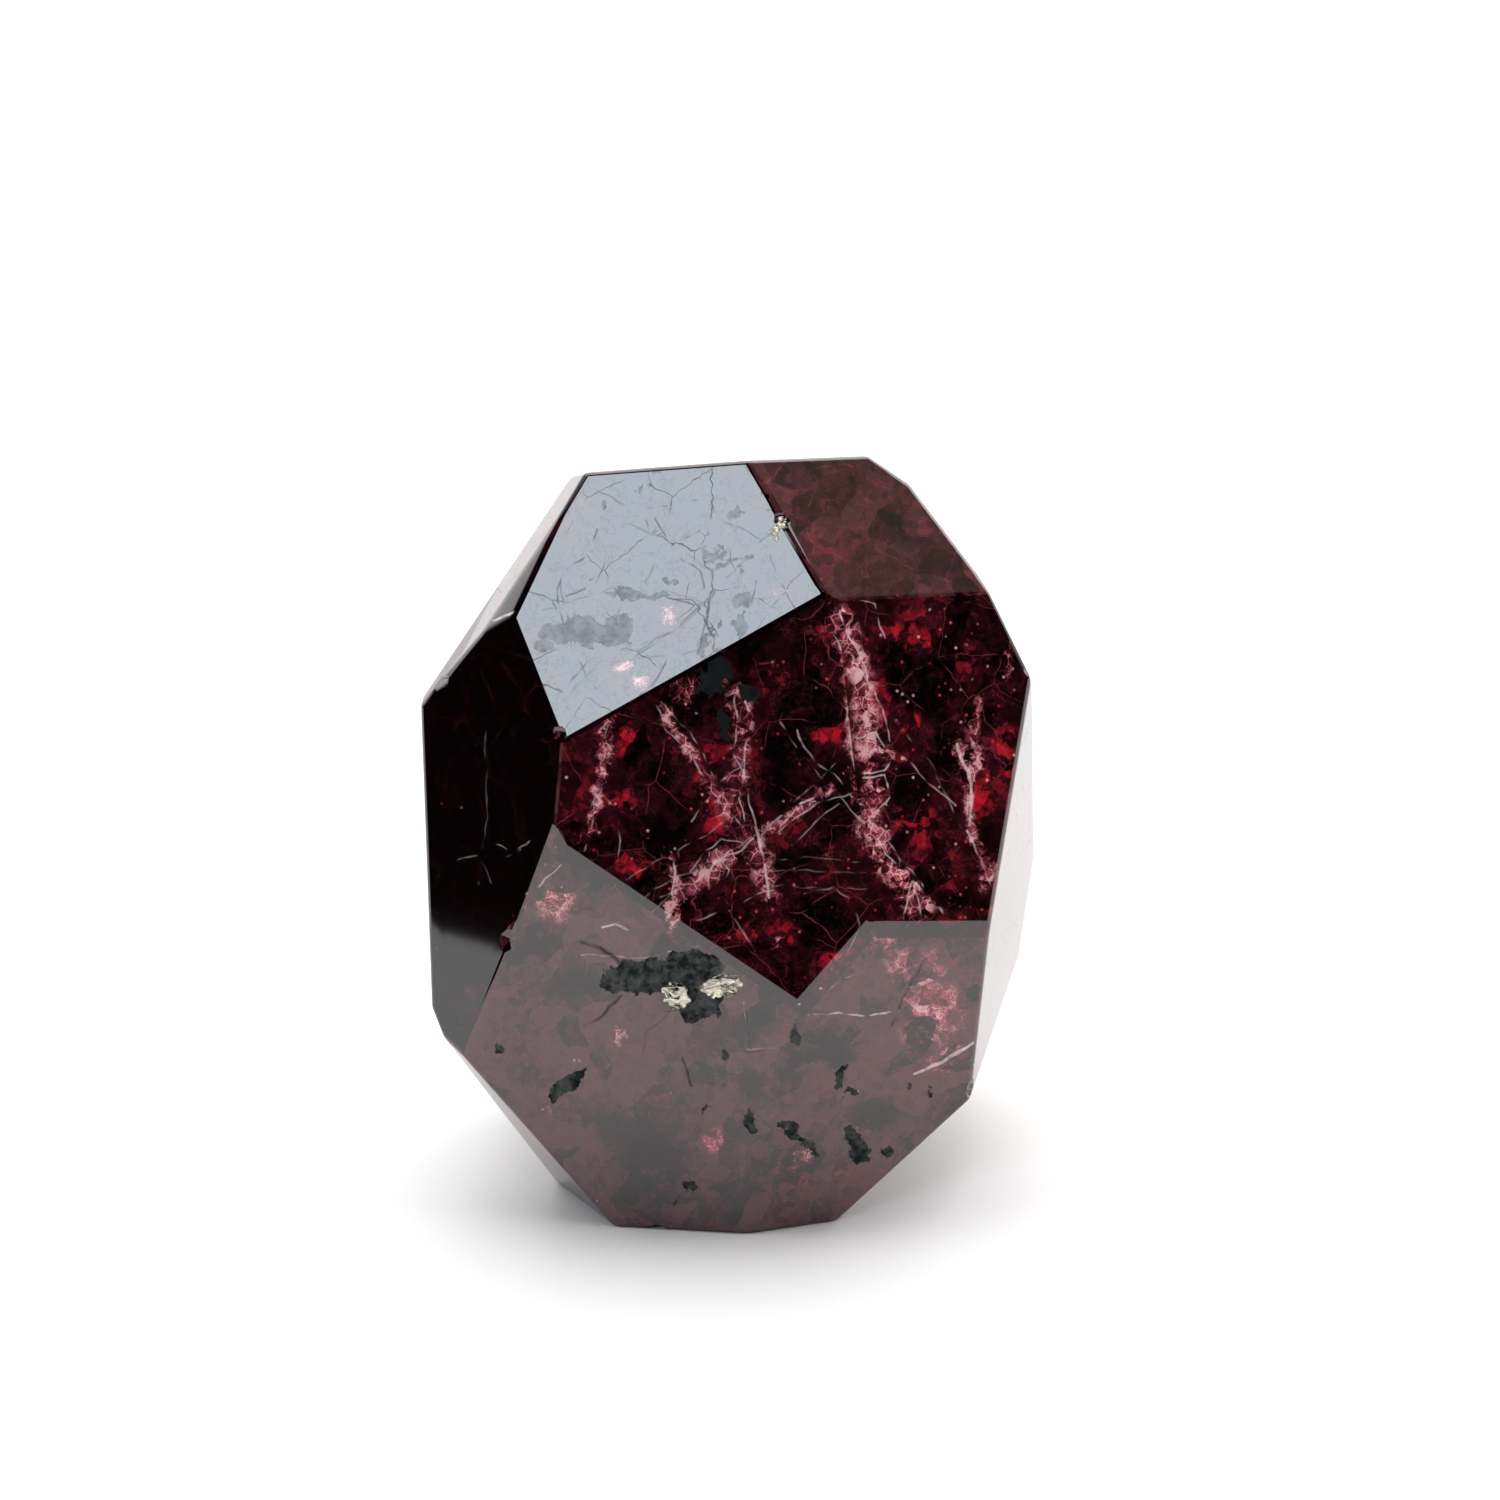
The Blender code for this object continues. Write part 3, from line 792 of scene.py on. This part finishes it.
def depths_group(net, ragged):
    """The look into the stone: shards and crumbs of garnet, lit from within or milky."""
    finish = settings("garnet_finish")
    tree, start, end = new_group(
        "Garnet depths",
        [("Place", VECTOR, (0, 0, 0)), ("Light", FLOAT, 0.3), ("Milk", FLOAT, 0.1),
         ("Net", FLOAT, 0.4), ("Glow", FLOAT, 0.0), ("Veil", FLOAT, 0.0), ("Night", FLOAT, 0.0)],
        [("Colour", COLOUR), ("Tilt", VECTOR), ("Crumb", FLOAT), ("Lines", FLOAT)])
    place = start["Place"]
    wisps = channels(tree, noise_texture(tree, place, WISPS_PER_MM, 5.0, 0.62).outputs["Color"])
    filament = maths(tree, "MAXIMUM", thin_line(tree, wisps[0], 0.011),
                     maths(tree, "MULTIPLY", thin_line(tree, wisps[1], 0.008), 0.8))
    bent = place_group(
        tree, ragged, Place=place, Plan=place, Scale=0.5, Push=0.9, Detail=3.0)["Plan"]
    clouds = noise_texture(tree, place, CLOUDS_PER_MM, 3.0, 0.6).outputs["Fac"]
    grain = noise_texture(tree, place, GRAIN_PER_MM, 4.0, 0.72).outputs["Fac"]
    shard = channels(tree, cells(tree, bent, SHARDS_PER_MM).outputs["Color"])
    crumb_cells = cells(tree, bent, CRUMBS_PER_MM)
    crumb = channels(tree, crumb_cells.outputs["Color"])
    # Each shard and crumb has its own brightness, fine grain lies over them, and their mean is 0
    texture = maths(tree, "MULTIPLY_ADD", shard[0], 0.55, maths(tree, "MULTIPLY", crumb[0], 0.48))
    texture = maths(tree, "MULTIPLY_ADD", grain, 0.8, texture)
    texture = maths(tree, "SUBTRACT", texture, 0.915)
    # The light inside drifts in clouds, rises in the red glows and falls in the night zones
    level = maths(tree, "MULTIPLY_ADD", maths(tree, "SUBTRACT", clouds, 0.5), 1.5, start["Light"])
    level = maths(tree, "MULTIPLY_ADD", start["Glow"], 0.24, level)
    level = maths(tree, "MULTIPLY_ADD", start["Night"], -1.0, level)
    spread = maths(tree, "MULTIPLY_ADD", start["Glow"], 0.80, 0.65)
    level = maths(tree, "MULTIPLY_ADD", texture, spread, level)
    level = maths(tree, "MULTIPLY_ADD", filament, 0.06, level)
    colour = ramp(tree, level, [
        (0.0, finish.night), (0.28, mixed(finish.night, finish.wine, 0.35)), (0.5, finish.wine),
        (0.72, mixed(finish.wine, finish.ruby, 0.35)), (1.0, finish.ruby)])
    # Milky haze, which the night zones keep clear
    haze = steps(tree, maths(tree, "MULTIPLY_ADD", shard[2], 0.35, clouds), 0.35, 0.95)
    milk = maths(tree, "MULTIPLY", maths(tree, "MULTIPLY_ADD", texture, 0.9, haze), start["Milk"])
    clear = steps(tree, start["Night"], 0.0, 1.0, 1.5, 0.2)
    milk = limited(tree, maths(tree, "MULTIPLY", milk, clear))
    colour = blend(tree, milk, colour, finish.haze)
    # Pink veils, torn along the seams of their flakes, except in the milky zones
    seam = cells(tree, bent, SEAMS_PER_MM, feature="DISTANCE_TO_EDGE").outputs["Distance"]
    seam = maths(tree, "MULTIPLY", steps(tree, seam, 0.0, 0.07, 1.0, 0.0),
                 maths(tree, "SUBTRACT", 1.0, start["Milk"]))
    cloth = maths(tree, "MULTIPLY_ADD", maths(tree, "MAXIMUM", filament, seam), 0.35, texture)
    veil = maths(tree, "MULTIPLY", start["Veil"], steps(tree, cloth, -0.20, 0.22, 0.08, 1.0))
    pale = steps(tree, cloth, -0.05, 0.45)
    rosy = blend(tree, pale, mixed(finish.wine, finish.rose, 0.30), finish.rose)
    colour = blend(tree, veil, colour, rosy)
    shine = maths(tree, "MULTIPLY", start["Veil"], steps(tree, cloth, 0.18, 0.50))
    colour = blend(tree, maths(tree, "MULTIPLY", shine, 0.55), colour, finish.frost)
    # A wide net of fractures, and fine wisps between them
    wide = place_group(tree, net, Place=bent, Scale=0.26, Width=0.010, Share=0.42)["Mask"]
    lines = maths(tree, "MAXIMUM", wide, maths(tree, "MULTIPLY", filament, 0.25))
    colour = blend(tree, maths(tree, "MULTIPLY", lines, start["Net"]), colour, finish.rose)
    tree.links.new(colour, end["Colour"])
    tilt = vector_maths(tree, "SUBTRACT", crumb_cells.outputs["Color"], (0.5, 0.5, 0.5))
    tree.links.new(tilt, end["Tilt"])
    tree.links.new(crumb[1], end["Crumb"])
    tree.links.new(lines, end["Lines"])
    return tree


def make_groups():
    """Build the node groups that the zones share."""
    groups = {
        "plan": front_plan_group(),
        "ragged": ragged_group(),
        "net": fracture_net_group(),
        "painted_glints": painted_glints_group(),
        "stroke": crack_stroke_group(),
        "patch": patch_group(),
    }
    groups["depths"] = depths_group(groups["net"], groups["ragged"])
    return groups


# Materials


def new_material(name):
    material = bpy.data.materials.new(name)
    material.use_nodes = True
    tree = material.node_tree
    return material, tree, tree.nodes["Principled BSDF"]


def stone_place(tree):
    """The place on the stone in mm from its centre, from Object coordinates."""
    source = add_node(tree, "ShaderNodeTexCoord").outputs["Object"]
    return vector_maths(tree, "MULTIPLY_ADD", source, (1 / MM,) * 3, -CENTRE)


def patch_mask(tree, groups, zone, patches, kind, plan, soft):
    """One kind of patch in one zone as a mask, or 0 where the zone has none."""
    if zone not in patches:
        return 0.0
    group = patches_group(f"{kind} in the {zone}", patches[zone], groups["patch"])
    return steps(tree, place_group(tree, group, Plan=plan)["Depth"], 0.0, soft)


def crack_mask(tree, groups, zone, cracks, kind, plan, soft=None):
    """One kind of crack in one zone as a mask, or 0 where the zone has none."""
    if zone not in cracks:
        return 0.0
    group = cracks_group(f"{kind} in the {zone}", cracks[zone], groups["stroke"])
    mask = place_group(tree, group, Plan=plan)["Mask"]
    return steps(tree, mask, 0.0, soft) if soft else mask


def garnet_material(groups, zone):
    """Polished garnet for one zone of the stone, with that zone's own marks."""
    finish = settings("garnet_finish")
    light, milk, net, painted_glint_share, glow_share = ZONE_LOOKS[zone]
    material, tree, shader = new_material(f"polished_garnet_{zone}")
    place = stone_place(tree)
    plan = place_group(tree, groups["plan"], Place=place)["Plan"]
    ragged = place_group(
        tree, groups["ragged"], Place=place, Plan=plan, Scale=1.0, Push=1.9, Detail=4.0)["Plan"]
    bent = place_group(
        tree, groups["ragged"], Place=place, Plan=plan, Scale=0.6, Push=0.6, Detail=1.0)["Plan"]

    glow = patch_mask(tree, groups, zone, RED_GLOWS, "Red glows", ragged, 1.0)
    glow = maths(tree, "MULTIPLY", glow, glow_share)
    veil = patch_mask(tree, groups, zone, PINK_VEILS, "Pink veils", ragged, 1.0)
    ribbon = crack_mask(tree, groups, zone, PINK_RIBBONS, "Pink ribbons", ragged, 0.75)
    veil = maths(tree, "MAXIMUM", veil, ribbon)
    night = patch_mask(tree, groups, zone, NIGHT_ZONES, "Night zones", ragged, 1.2)
    mineral = patch_mask(tree, groups, zone, BLACK_MINERAL, "Black mineral", ragged, 0.1)
    white = crack_mask(tree, groups, zone, WHITE_CRACKS, "White cracks", bent, 0.6)
    dark = crack_mask(tree, groups, zone, DARK_CRACKS, "Dark cracks", bent)

    depths = place_group(tree, groups["depths"], Place=place, Light=light, Milk=milk, Net=net,
                         Glow=glow, Veil=veil, Night=night)
    patchy = noise_texture(tree, place, 1.3, 4.0, 0.75).outputs["Fac"]
    white = maths(tree, "MULTIPLY", white, steps(tree, patchy, 0.32, 0.62, 0.45, 1.0))
    # Painted glints: bright specks of painted reflection mixed into the base colour; below, they
    # also get a little real metallic reflection
    painted_glint_spots = place_group(tree, groups["painted_glints"], Place=place, Scale=PAINTED_GLINTS_PER_MM,
                         Rarity=1.0 - 0.02 * painted_glint_share, Size=0.42)
    colour = blend(tree, painted_glint_spots["Mask"], depths["Colour"], painted_glint_spots["Tint"])
    colour = blend(tree, maths(tree, "MULTIPLY", white, 0.7), colour, finish.frost)
    colour = blend(tree, dark, colour, finish.mineral)
    colour = blend(tree, mineral, colour, finish.mineral)
    tree.links.new(colour, shader.inputs["Base Color"])

    flash = maths(tree, "MULTIPLY", veil, steps(tree, depths["Crumb"], 0.6, 1.0, 0.0, 0.6))
    flash = maths(tree, "MAXIMUM", flash, maths(tree, "MULTIPLY", painted_glint_spots["Mask"], 0.3))
    flash = maths(tree, "MULTIPLY", flash, maths(tree, "SUBTRACT", 1.0, mineral))
    tree.links.new(flash, shader.inputs["Metallic"])

    tilt = vector_maths(tree, "SCALE", depths["Tilt"], scale=CRUMB_LEAN)
    normal = add_node(tree, "ShaderNodeNewGeometry").outputs["Normal"]
    tree.links.new(vector_maths(tree, "NORMALIZE", vector_maths(tree, "ADD", normal, tilt)),
                   shader.inputs["Normal"])

    dullness = BROW_DULLNESS if zone == "brow" else MINERAL_DULLNESS
    worn = steps(tree, patchy, 0.35, 0.65, dullness * 0.6, dullness * 1.3)
    dull = maths(tree, "MULTIPLY", mineral, worn)
    dull = maths(tree, "MAXIMUM", dull, maths(tree, "MULTIPLY", dark, 0.8))
    lines = maths(tree, "MULTIPLY", depths["Lines"], 0.7 if zone == "brow" else 0.25)
    dull = maths(tree, "MAXIMUM", dull, lines)
    tree.links.new(maths(tree, "SUBTRACT", 1.0, dull), shader.inputs["Coat Weight"])

    shader.inputs["Roughness"].default_value = INNER_ROUGHNESS
    shader.inputs["Specular IOR Level"].default_value = 0.0
    shader.inputs["Coat Roughness"].default_value = finish.polish
    shader.inputs["Coat IOR"].default_value = finish.index
    return material


def pyrite_material():
    finish = settings("garnet_finish")
    material, tree, shader = new_material("pyrite_grains")
    place = stone_place(tree)
    grain = channels(tree, cells(tree, place, 3.5).outputs["Color"])
    dark = mixed(finish.mineral, finish.pyrite, 0.45)
    tree.links.new(blend(tree, steps(tree, grain[0], 0.0, 0.6), dark, finish.pyrite),
                   shader.inputs["Base Color"])
    tree.links.new(steps(tree, grain[1], 0.0, 1.0, 0.30, 0.60), shader.inputs["Roughness"])
    shader.inputs["Metallic"].default_value = 0.85
    bump = add_node(tree, "ShaderNodeBump")
    bump.inputs["Strength"].default_value = 0.5
    bump.inputs["Distance"].default_value = 0.05 * MM
    rough = noise_texture(tree, place, 5.0, 4.0, 0.6).outputs["Fac"]
    tree.links.new(rough, bump.inputs["Height"])
    tree.links.new(bump.outputs["Normal"], shader.inputs["Normal"])
    return material


def floor_material():
    stage = settings("garnet_stage")
    material, tree, shader = new_material("pale_floor")
    source = add_node(tree, "ShaderNodeTexCoord").outputs["Object"]
    grain = noise_texture(tree, source, 6.0, 4.0, 0.5).outputs["Fac"]
    shade = tuple(channel * 0.985 for channel in stage.floor_colour)
    tree.links.new(blend(tree, steps(tree, grain, 0.3, 0.7), shade, stage.floor_colour),
                   shader.inputs["Base Color"])
    shader.inputs["Roughness"].default_value = 0.55
    shader.inputs["Specular IOR Level"].default_value = 0.2
    return material


# Stage


def add_floor(stage):
    deselect_all()
    bpy.ops.mesh.primitive_plane_add(size=1.0, location=(0, 0, 0))
    floor = bpy.context.object
    floor.name = "pale_floor"
    middle = Vector(((stage.floor_right - stage.floor_left) / 2,
                     (stage.floor_back - stage.floor_front) / 2, 0))
    reach = Vector((stage.floor_right + stage.floor_left, stage.floor_back + stage.floor_front, 1))
    for vertex in floor.data.vertices:
        vertex.co = vertex.co * reach + middle
    floor.data.materials.append(floor_material())


def add_softbox(stage):
    """A square light whose strength is given as its brightness, so its size can change."""
    direction = facet_normal(math.degrees(stage.softbox_turn), math.degrees(stage.softbox_height))
    bpy.ops.object.light_add(type="AREA", location=CENTRE * MM + direction * stage.softbox_distance)
    lamp = bpy.context.object
    lamp.name = "softbox"
    lamp.data.shape = "SQUARE"
    lamp.data.size = stage.softbox_size
    lamp.data.energy = stage.softbox_radiance * stage.softbox_size ** 2 * math.pi
    lamp.data.color = stage.softbox_colour
    lamp.rotation_euler = (-direction).to_track_quat("-Z", "Y").to_euler()


def make_world(stage):
    """A studio that is dark in front, bright overhead and behind, and warm above on the right."""
    world = bpy.data.worlds.new("studio")
    bpy.context.scene.world = world
    world.use_nodes = True
    tree = world.node_tree
    direction = add_node(tree, "ShaderNodeTexCoord").outputs["Generated"]
    parts = add_node(tree, "ShaderNodeSeparateXYZ")
    tree.links.new(direction, parts.inputs[0])
    behind = steps(tree, parts.outputs["Y"], 0.0, 0.5)
    low = steps(tree, parts.outputs["Z"], 0.35, 0.7, 1.0, 0.0)
    room = blend(tree, maths(tree, "MULTIPLY", behind, low), stage.front_colour,
                 (stage.backdrop_radiance,) * 3)
    lean = maths(tree, "MULTIPLY_ADD", parts.outputs["X"], 0.30, parts.outputs["Z"])
    overhead = steps(tree, lean, 0.34, 0.62)
    not_in_front = steps(tree, parts.outputs["Y"], -0.30, 0.0)
    room = blend(tree, maths(tree, "MULTIPLY", overhead, not_in_front), room,
                 (stage.dome_radiance,) * 3)
    warm_side = vector_maths(tree, "DOT_PRODUCT", direction, WARM_SIDE)
    room = blend(tree, steps(tree, warm_side, 0.90, 0.975), room, stage.warm_colour)
    seen = add_node(tree, "ShaderNodeLightPath").outputs["Is Camera Ray"]
    room = blend(tree, seen, room, stage.seen_colour)
    tree.links.new(room, tree.nodes["Background"].inputs["Color"])


def add_camera(stage):
    place = Vector((stage.camera_side, -stage.camera_distance, stage.camera_height))
    bpy.ops.object.camera_add(location=CENTRE * MM + place, rotation=(stage.camera_tilt, 0, 0))
    camera = bpy.context.object
    camera.name = "camera"
    camera.data.lens = stage.camera_lens
    camera.data.sensor_width = 36
    bpy.context.scene.camera = camera


# Pieces


def copy_stone():
    """Copy the frame's stone, and merge its loose triangles into whole facets."""
    sizes = settings("garnet_stone")
    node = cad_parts[STONE]
    activate(node)
    bpy.ops.object.duplicate()
    stone = bpy.context.object
    stone.name = "polished_stone"
    bpy.ops.object.mode_set(mode="EDIT")
    bpy.ops.mesh.select_all(action="SELECT")
    bpy.ops.mesh.remove_doubles(threshold=sizes.merge_distance)
    bpy.ops.mesh.dissolve_limited(angle_limit=sizes.flat_angle)
    bpy.ops.object.mode_set(mode="OBJECT")
    return stone


def settle_shading(stone, smooth_angle):
    """Keep the facets flat in the shading, and let the rounded edges run smoothly between them."""
    activate(stone)
    bpy.ops.object.shade_smooth_by_angle(angle=smooth_angle)
    weighted = stone.modifiers.new("Flat facets", "WEIGHTED_NORMAL")
    weighted.mode = "FACE_AREA"
    weighted.weight = 100
    weighted.keep_sharp = True
    bpy.ops.object.modifier_apply(modifier=weighted.name)


def paint_zones(stone):
    """Give each face the material of the zone whose facet it is turned most like."""
    normals = [(facet_normal(*facet), index) for index, facets in enumerate(ZONE_FACETS.values())
               for facet in facets]
    for face in stone.data.polygons:
        face.material_index = max(normals, key=lambda item: face.normal.dot(item[0]))[1]


class GARNET_OT_add_stage(bpy.types.Operator):
    """Add the pale floor, the softbox, the studio around them and the camera."""
    bl_idname = "garnet.add_stage"
    bl_label = "Add floor, lights and camera"

    def execute(self, context):
        stage = settings("garnet_stage")
        add_floor(stage)
        add_softbox(stage)
        make_world(stage)
        add_camera(stage)
        context.scene.view_settings.view_transform = "Standard"
        return {"FINISHED"}


class GARNET_OT_add_stone(bpy.types.Operator):
    """Add the polished stone with its fractures and inclusions."""
    bl_idname = "garnet.add_stone"
    bl_label = "Add polished stone"

    def execute(self, context):
        stone = copy_stone()
        settle_shading(stone, settings("garnet_stone").smooth_angle)
        groups = make_groups()
        dress(stone, [garnet_material(groups, zone) for zone in ZONE_FACETS], STONE)
        paint_zones(stone)
        return {"FINISHED"}


def surface_point(stone, across, up):
    """The place on the stone's front that the front plan shows at these millimetres."""
    start = (CENTRE + Vector((across, 0, 0)) + PLAN_UP * up - PLAN_INWARDS * RAY_START) * MM
    hit, place, normal, _ = stone.ray_cast(start, PLAN_INWARDS)
    if not hit:
        raise RuntimeError("a mark lies beside the stone")
    return place, normal


def scatter(draw, across, up, half_width, half_height, turn, count):
    """Spots on the front plan, spread evenly over a turned ellipse."""
    cosine, sine = math.cos(math.radians(turn)), math.sin(math.radians(turn))
    for _ in range(count):
        angle, reach = draw.uniform(0, math.tau), math.sqrt(draw.random())
        along = math.cos(angle) * reach * half_width
        aside = math.sin(angle) * reach * half_height
        yield across + along * cosine - aside * sine, up + along * sine + aside * cosine


def melt_grains(name, places, sizes, seed):
    """Melt small balls into one crumbly patch of grains."""
    draw = random.Random(seed)
    shape = settings("garnet_stone")
    deselect_all()
    for number, (place, size) in enumerate(zip(places, sizes)):
        bpy.ops.mesh.primitive_ico_sphere_add(
            subdivisions=2, radius=size, location=place,
            rotation=[draw.uniform(0, math.pi) for _ in range(3)])
        if number == 0:
            grain = bpy.context.object
            bpy.ops.object.mode_set(mode="EDIT")
    bpy.ops.object.mode_set(mode="OBJECT")
    grain.name = name
    bpy.ops.object.transform_apply(location=True, rotation=True, scale=True)
    melt = grain.modifiers.new("Melt", "REMESH")
    melt.mode = "VOXEL"
    melt.voxel_size = shape.grain_voxel
    bpy.ops.object.modifier_apply(modifier=melt.name)
    texture = bpy.data.textures.new(f"{name}_rough", "CLOUDS")
    texture.noise_scale = shape.grain_size
    rough = grain.modifiers.new("Rough", "DISPLACE")
    rough.texture = texture
    rough.strength = shape.grain_rough
    rough.mid_level = 0.6
    bpy.ops.object.modifier_apply(modifier=rough.name)
    return grain


def cut_flush(grain, place, normal):
    """Grind a patch of grains flat at a plane."""
    activate(grain)
    bpy.ops.object.mode_set(mode="EDIT")
    bpy.ops.mesh.select_all(action="SELECT")
    bpy.ops.mesh.bisect(plane_co=place, plane_no=normal, use_fill=True, clear_outer=True)
    bpy.ops.object.mode_set(mode="OBJECT")


class GARNET_OT_add_pyrite(bpy.types.Operator):
    """Add the pale metallic grains set in the dark mineral at the toe."""
    bl_idname = "garnet.add_pyrite"
    bl_label = "Add pyrite grains"

    def execute(self, context):
        shape = settings("garnet_stone")
        stone = bpy.data.objects["polished_stone"]
        material = pyrite_material()
        for seed, (name, patch) in enumerate(PYRITE_PATCHES.items()):
            draw = random.Random(seed)
            places = [surface_point(stone, *spot)[0] for spot in scatter(draw, *patch)]
            sizes = [shape.grain_size * draw.uniform(0.5, 1.15) for _ in places]
            grain = melt_grains(name, places, sizes, seed)
            place, normal = surface_point(stone, *patch[:2])
            cut_flush(grain, place + normal * shape.grain_stand, normal)
            dress(grain, [material])
        return {"FINISHED"}


class GARNET_OT_add_edge_grain(bpy.types.Operator):
    """Add the crumbly metallic grains at the edge between the brow and the crown."""
    bl_idname = "garnet.add_edge_grain"
    bl_label = "Add grains at the brow's edge"

    def execute(self, context):
        shape = settings("garnet_stone")
        draw = random.Random(EDGE_GRAINS)
        places = []
        for number in range(EDGE_GRAINS):
            share = number / (EDGE_GRAINS - 1)
            middle = CENTRE + EDGE_GRAIN_START.lerp(EDGE_GRAIN_END, share)
            spread = [draw.uniform(-EDGE_GRAIN_SPREAD, EDGE_GRAIN_SPREAD) for _ in range(3)]
            places.append((middle + Vector(spread)) * MM)
        sizes = [shape.grain_size * draw.uniform(0.45, 0.95) for _ in places]
        grain = melt_grains("edge_grain", places, sizes, EDGE_GRAINS)
        dress(grain, [bpy.data.materials["pyrite_grains"]])
        return {"FINISHED"}


class GARNET_PT_sidebar(bpy.types.Panel):
    """Lists the steps that build the stone."""
    bl_idname = "GARNET_PT_sidebar"
    bl_label = "Garnet free-form"
    bl_space_type = "VIEW_3D"
    bl_region_type = "UI"
    bl_category = "Garnet"

    def draw(self, context):
        for operator in (GARNET_OT_add_stage, GARNET_OT_add_stone, GARNET_OT_add_pyrite,
                         GARNET_OT_add_edge_grain):
            self.layout.operator(operator.bl_idname)


def register():
    for kind in addon_classes():
        bpy.utils.register_class(kind)
    scene = bpy.types.Scene
    scene.garnet_stone = bpy.props.PointerProperty(type=GarnetStoneSettings)
    scene.garnet_finish = bpy.props.PointerProperty(type=GarnetFinishSettings)
    scene.garnet_stage = bpy.props.PointerProperty(type=GarnetStageSettings)


def unregister():
    scene = bpy.types.Scene
    del scene.garnet_stone, scene.garnet_finish, scene.garnet_stage
    for kind in reversed(addon_classes()):
        bpy.utils.unregister_class(kind)


def main():
    register()
    bpy.ops.garnet.add_stage()
    bpy.ops.garnet.add_stone()
    bpy.ops.garnet.add_pyrite()
    bpy.ops.garnet.add_edge_grain()


if __name__ == "__main__":
    main()
